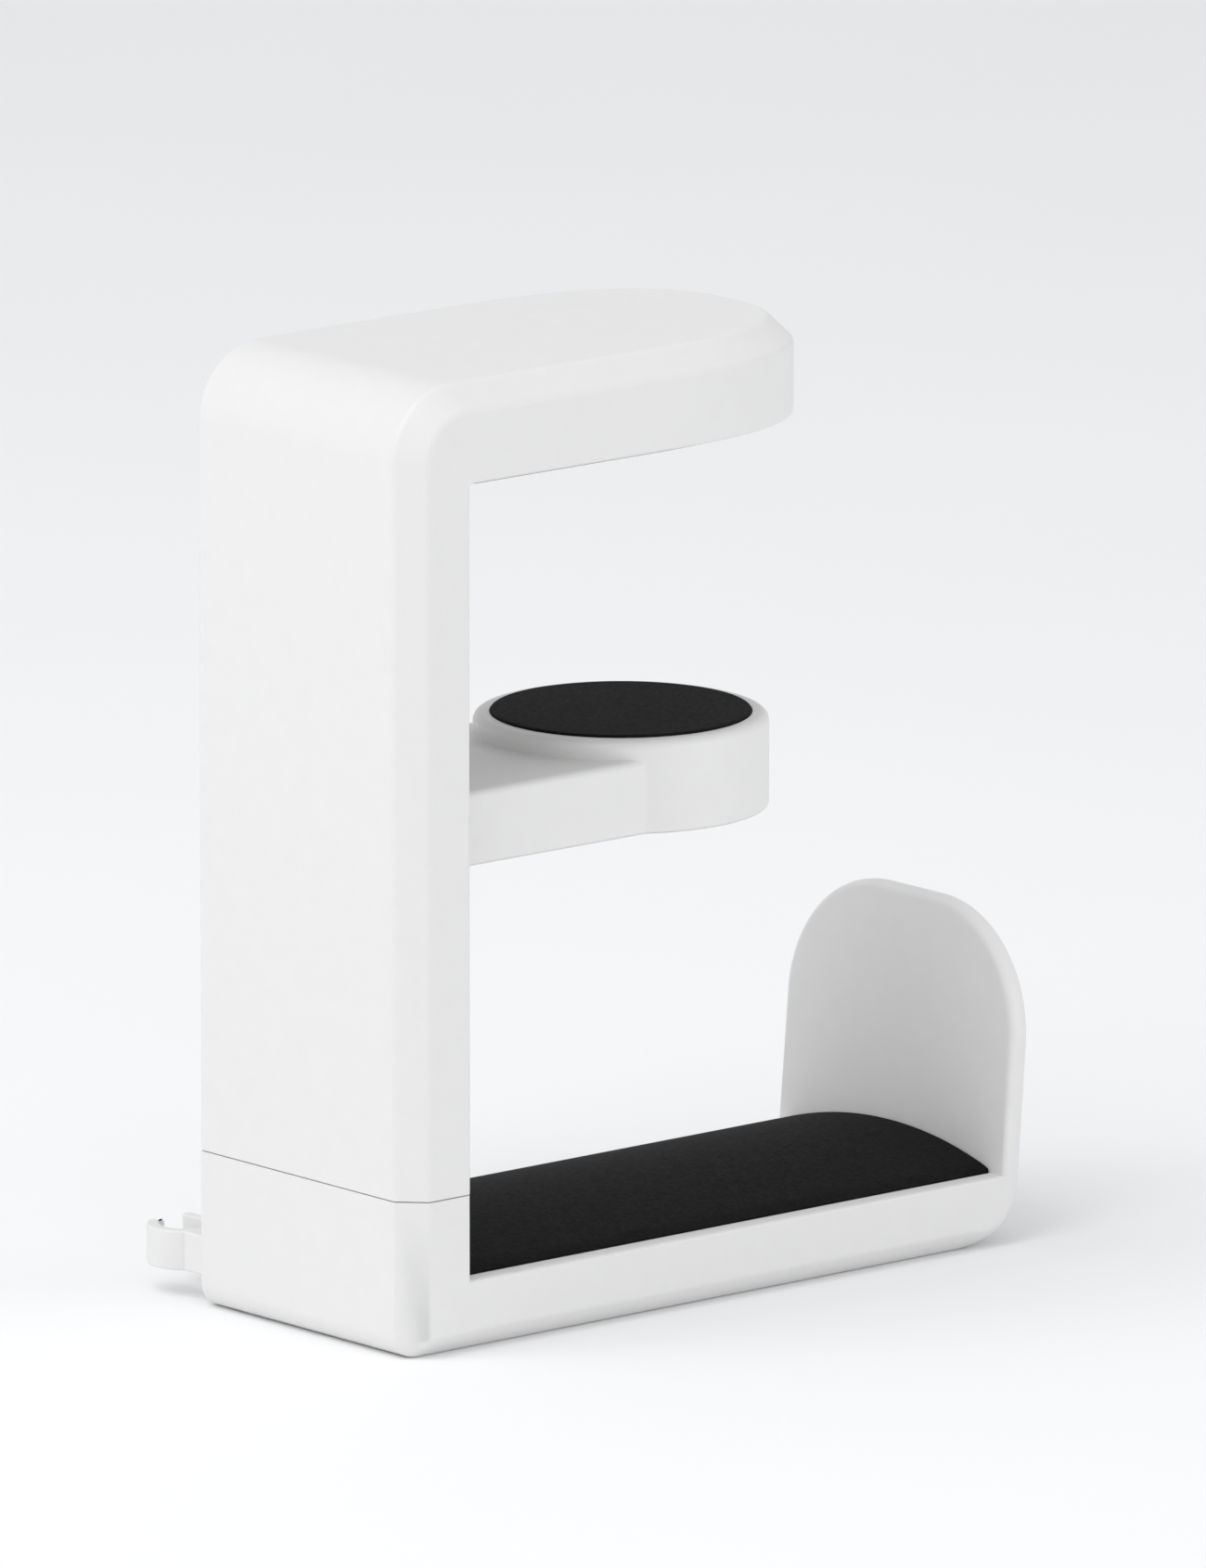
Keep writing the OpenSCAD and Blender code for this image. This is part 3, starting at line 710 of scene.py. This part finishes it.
def cable_clip():
    """A round cup with a lip, beside a straight back arm that ends in a round nose."""
    outer, middle, nose = CLIP_R + CLIP_WALL, CLIP_R + CLIP_WALL / 2, CLIP_WALL / 2
    centre = (outer, HALF_W + 5.3)
    back = (CLIP_HIGH.x - CLIP_WALL, CLIP_HIGH.x)
    root_x, root_y = 1.5, CLIP_LOW.y
    mouth = math.degrees(math.acos((back[0] - centre[0]) / CLIP_R))
    foot = math.degrees(math.acos((root_x - centre[0]) / outer))
    lip = math.radians(CLIP_LIP)
    lip_centre = (centre[0] + middle * math.cos(lip), centre[1] + middle * math.sin(lip))
    outline = [(root_x, root_y), (back[1], root_y)]
    outline += arc((back[1] - nose, HALF_W + 8.4), nose, 0, 180, 10)
    outline += arc(centre, CLIP_R, -mouth, -254, 32)
    outline += arc(lip_centre, nose, CLIP_LIP - 180, CLIP_LIP, 8)[1:-1]
    outline += arc(centre, outer, CLIP_LIP, 360 - foot, 32)
    ends = (CLIP_LOW.z, CLIP_HIGH.z)
    obj = loft_solid("clip", [[(x, y, z) for x, y in outline] for z in ends])

    def radius_at(p):
        at_end = min(abs(p.z - z) for z in ends) < NEAR
        return 0.3 if at_end and p.y > root_y + 0.1 else 0

    round_edges(obj, radius_at)
    finish_piece(obj, "cable_clip_loop", "hook", WHITE, ["cable_clip"])


# ---------- lead screw ----------


def lead_screw():
    """The square end, lower journal, collar, left-hand trapezoidal thread and upper journal."""
    root = SCREW_R - THREAD_DEPTH
    top, thread_top = SCREW_HIGH.z, SCREW_HIGH.z - JOURNAL_LEN
    collar_r, collar_low = SCREW_HIGH.y, layout_box("thrust_washer")[1].z + 0.05
    thread_low = collar_low + COLLAR_T

    def ring(z, radius_at):
        points = []
        for i in range(40):
            a = 2 * math.pi * i / 40
            r = radius_at(i / 40)
            points.append((SCREW_X + r * math.cos(a), r * math.sin(a), z))
        return points

    def thread_radius(z, turn):
        if min(z - thread_low, thread_top - z) < 0.4:
            return root
        phase = (z / THREAD_LEAD + turn) % 1.0
        slope = min(max((abs(phase - 0.5) - 0.15) / 0.17, 0), 1)
        return SCREW_R - THREAD_DEPTH * slope

    lower = [(SCREW_R, SQUARE_TOP), (SCREW_R, collar_low), (collar_r - 0.2, collar_low)]
    lower += [(collar_r, collar_low + 0.2), (collar_r, thread_low - 0.2), (collar_r - 0.2, thread_low)]
    upper = [(JOURNAL_R, thread_top), (JOURNAL_R, top - 0.3), (JOURNAL_R - 0.3, top)]
    rows = int((thread_top - thread_low) / THREAD_LEAD * 12)
    rings = [ring(z, lambda turn: r) for r, z in lower]
    for row in range(rows + 1):
        z = thread_low + (thread_top - thread_low) * row / rows
        rings.append(ring(z, lambda turn: thread_radius(z, turn)))
    rings += [ring(z, lambda turn: r) for r, z in upper]
    obj = loft_solid("screw", rings)
    half = SQUARE_W / 2
    square_z = (SCREW_LOW.z, SQUARE_TOP + 0.2)
    square = box_solid((SCREW_X - half, SCREW_X + half), (-half, half), square_z)
    combine(obj, [square], "UNION")
    finish_piece(obj, "lead_screw_thread", "hook", STEEL, ["lead_screw"])


clamp_shell()
column_cover()
column_screws()
upper_pad()
jaw_shell()
jaw_pad()
hook_shell()
tray_pad()
cable_clip()
lead_screw()

# the CAD nodes that are shown as they are
SHOWN_NODES = {
    "arm_cover": INNER, "arm_screws": STEEL, "upper_bush": BRONZE, "lower_bush": BRONZE,
    "thrust_washer": STEEL, "jaw_cover": WHITE, "jaw_carriage": INNER, "carriage_nut": BRONZE,
    "jaw_screws": STEEL, "base_washer": STEEL, "hook_washer": STEEL, "hook_screw": STEEL,
}
for node, material in SHOWN_NODES.items():
    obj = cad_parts[node]
    obj.data.materials.clear()
    obj.data.materials.append(material)


# ---------- floor, light and camera ----------


def studio():
    """A sweep of pale paper: a floor that curves up behind the object. In metres."""
    half, rise, radius = 4.0, 3.5, 1.4
    curve = arc((half - radius, radius), radius, 270, 360, 24)
    profile = [(-half, 0.0)] + curve + [(half, rise)]
    shell = Shell()
    for (y0, z0), (y1, z1) in zip(profile, profile[1:]):
        shell.face([(-half, y0, z0), (half, y0, z0), (half, y1, z1), (-half, y1, z1)])
    sweep = shell.to_object("studio_sweep")
    for polygon in sweep.data.polygons:
        polygon.use_smooth = True
    sweep.location = (0, 0, cad_box[0][2])
    sweep.rotation_euler = (0, 0, -AZIMUTH)
    material, tree, shader = node_material("studio_paper")
    paper = ramp(tree, noise(tree, 6, 2), (0.95, 0.953, 0.96), (0.965, 0.968, 0.975))
    tree.links.new(paper, shader.inputs["Base Color"])
    shader.inputs["Roughness"].default_value = 0.9
    sweep.data.materials.append(material)


def softbox(name, position, target, size, watts):
    light = bpy.data.lights.new(name, "AREA")
    light.shape = "RECTANGLE"
    light.size, light.size_y = size
    light.energy = watts
    obj = bpy.data.objects.new(name, light)
    bpy.context.scene.collection.objects.link(obj)
    obj.location = position
    obj.rotation_euler = (Vector(target) - Vector(position)).to_track_quat("-Z", "Y").to_euler()


def camera():
    right = Vector((math.cos(AZIMUTH), -math.sin(AZIMUTH), 0))
    level = math.cos(ELEVATION)
    ahead = Vector((math.sin(AZIMUTH) * level, math.cos(AZIMUTH) * level, -math.sin(ELEVATION)))
    up = right.cross(ahead)
    aim = ORIGIN + MM * (Vector(AIM) + right * AIM_SHIFT[0] + up * AIM_SHIFT[1])
    data = bpy.data.cameras.new("camera")
    data.lens = LENS_MM
    data.sensor_width = 36
    data.clip_end = 50
    obj = bpy.data.objects.new("camera", data)
    bpy.context.scene.collection.objects.link(obj)
    axes = Matrix((right, up, -ahead)).transposed().to_4x4()
    obj.matrix_world = Matrix.Translation(aim - ahead * DISTANCE) @ axes
    bpy.context.scene.camera = obj


def lights():
    target = tuple((cad_box[0][i] + cad_box[1][i]) / 2 for i in range(3))
    softbox("key", (-1.05, 0.35, 0.4), target, (0.8, 0.8), 0.9)
    softbox("fill", (0.5, -1.05, 0.25), target, (0.9, 0.7), 2.1)
    softbox("top", (-0.7, 0.0, 0.95), target, (1.0, 1.0), 6.0)
    world = bpy.data.worlds.new("studio_air")
    world.use_nodes = True
    background = world.node_tree.nodes["Background"]
    background.inputs["Color"].default_value = (0.985, 0.99, 1.0, 1)
    background.inputs["Strength"].default_value = 0.7
    bpy.context.scene.world = world


studio()
camera()
lights()
bpy.context.scene.view_settings.view_transform = "Standard"
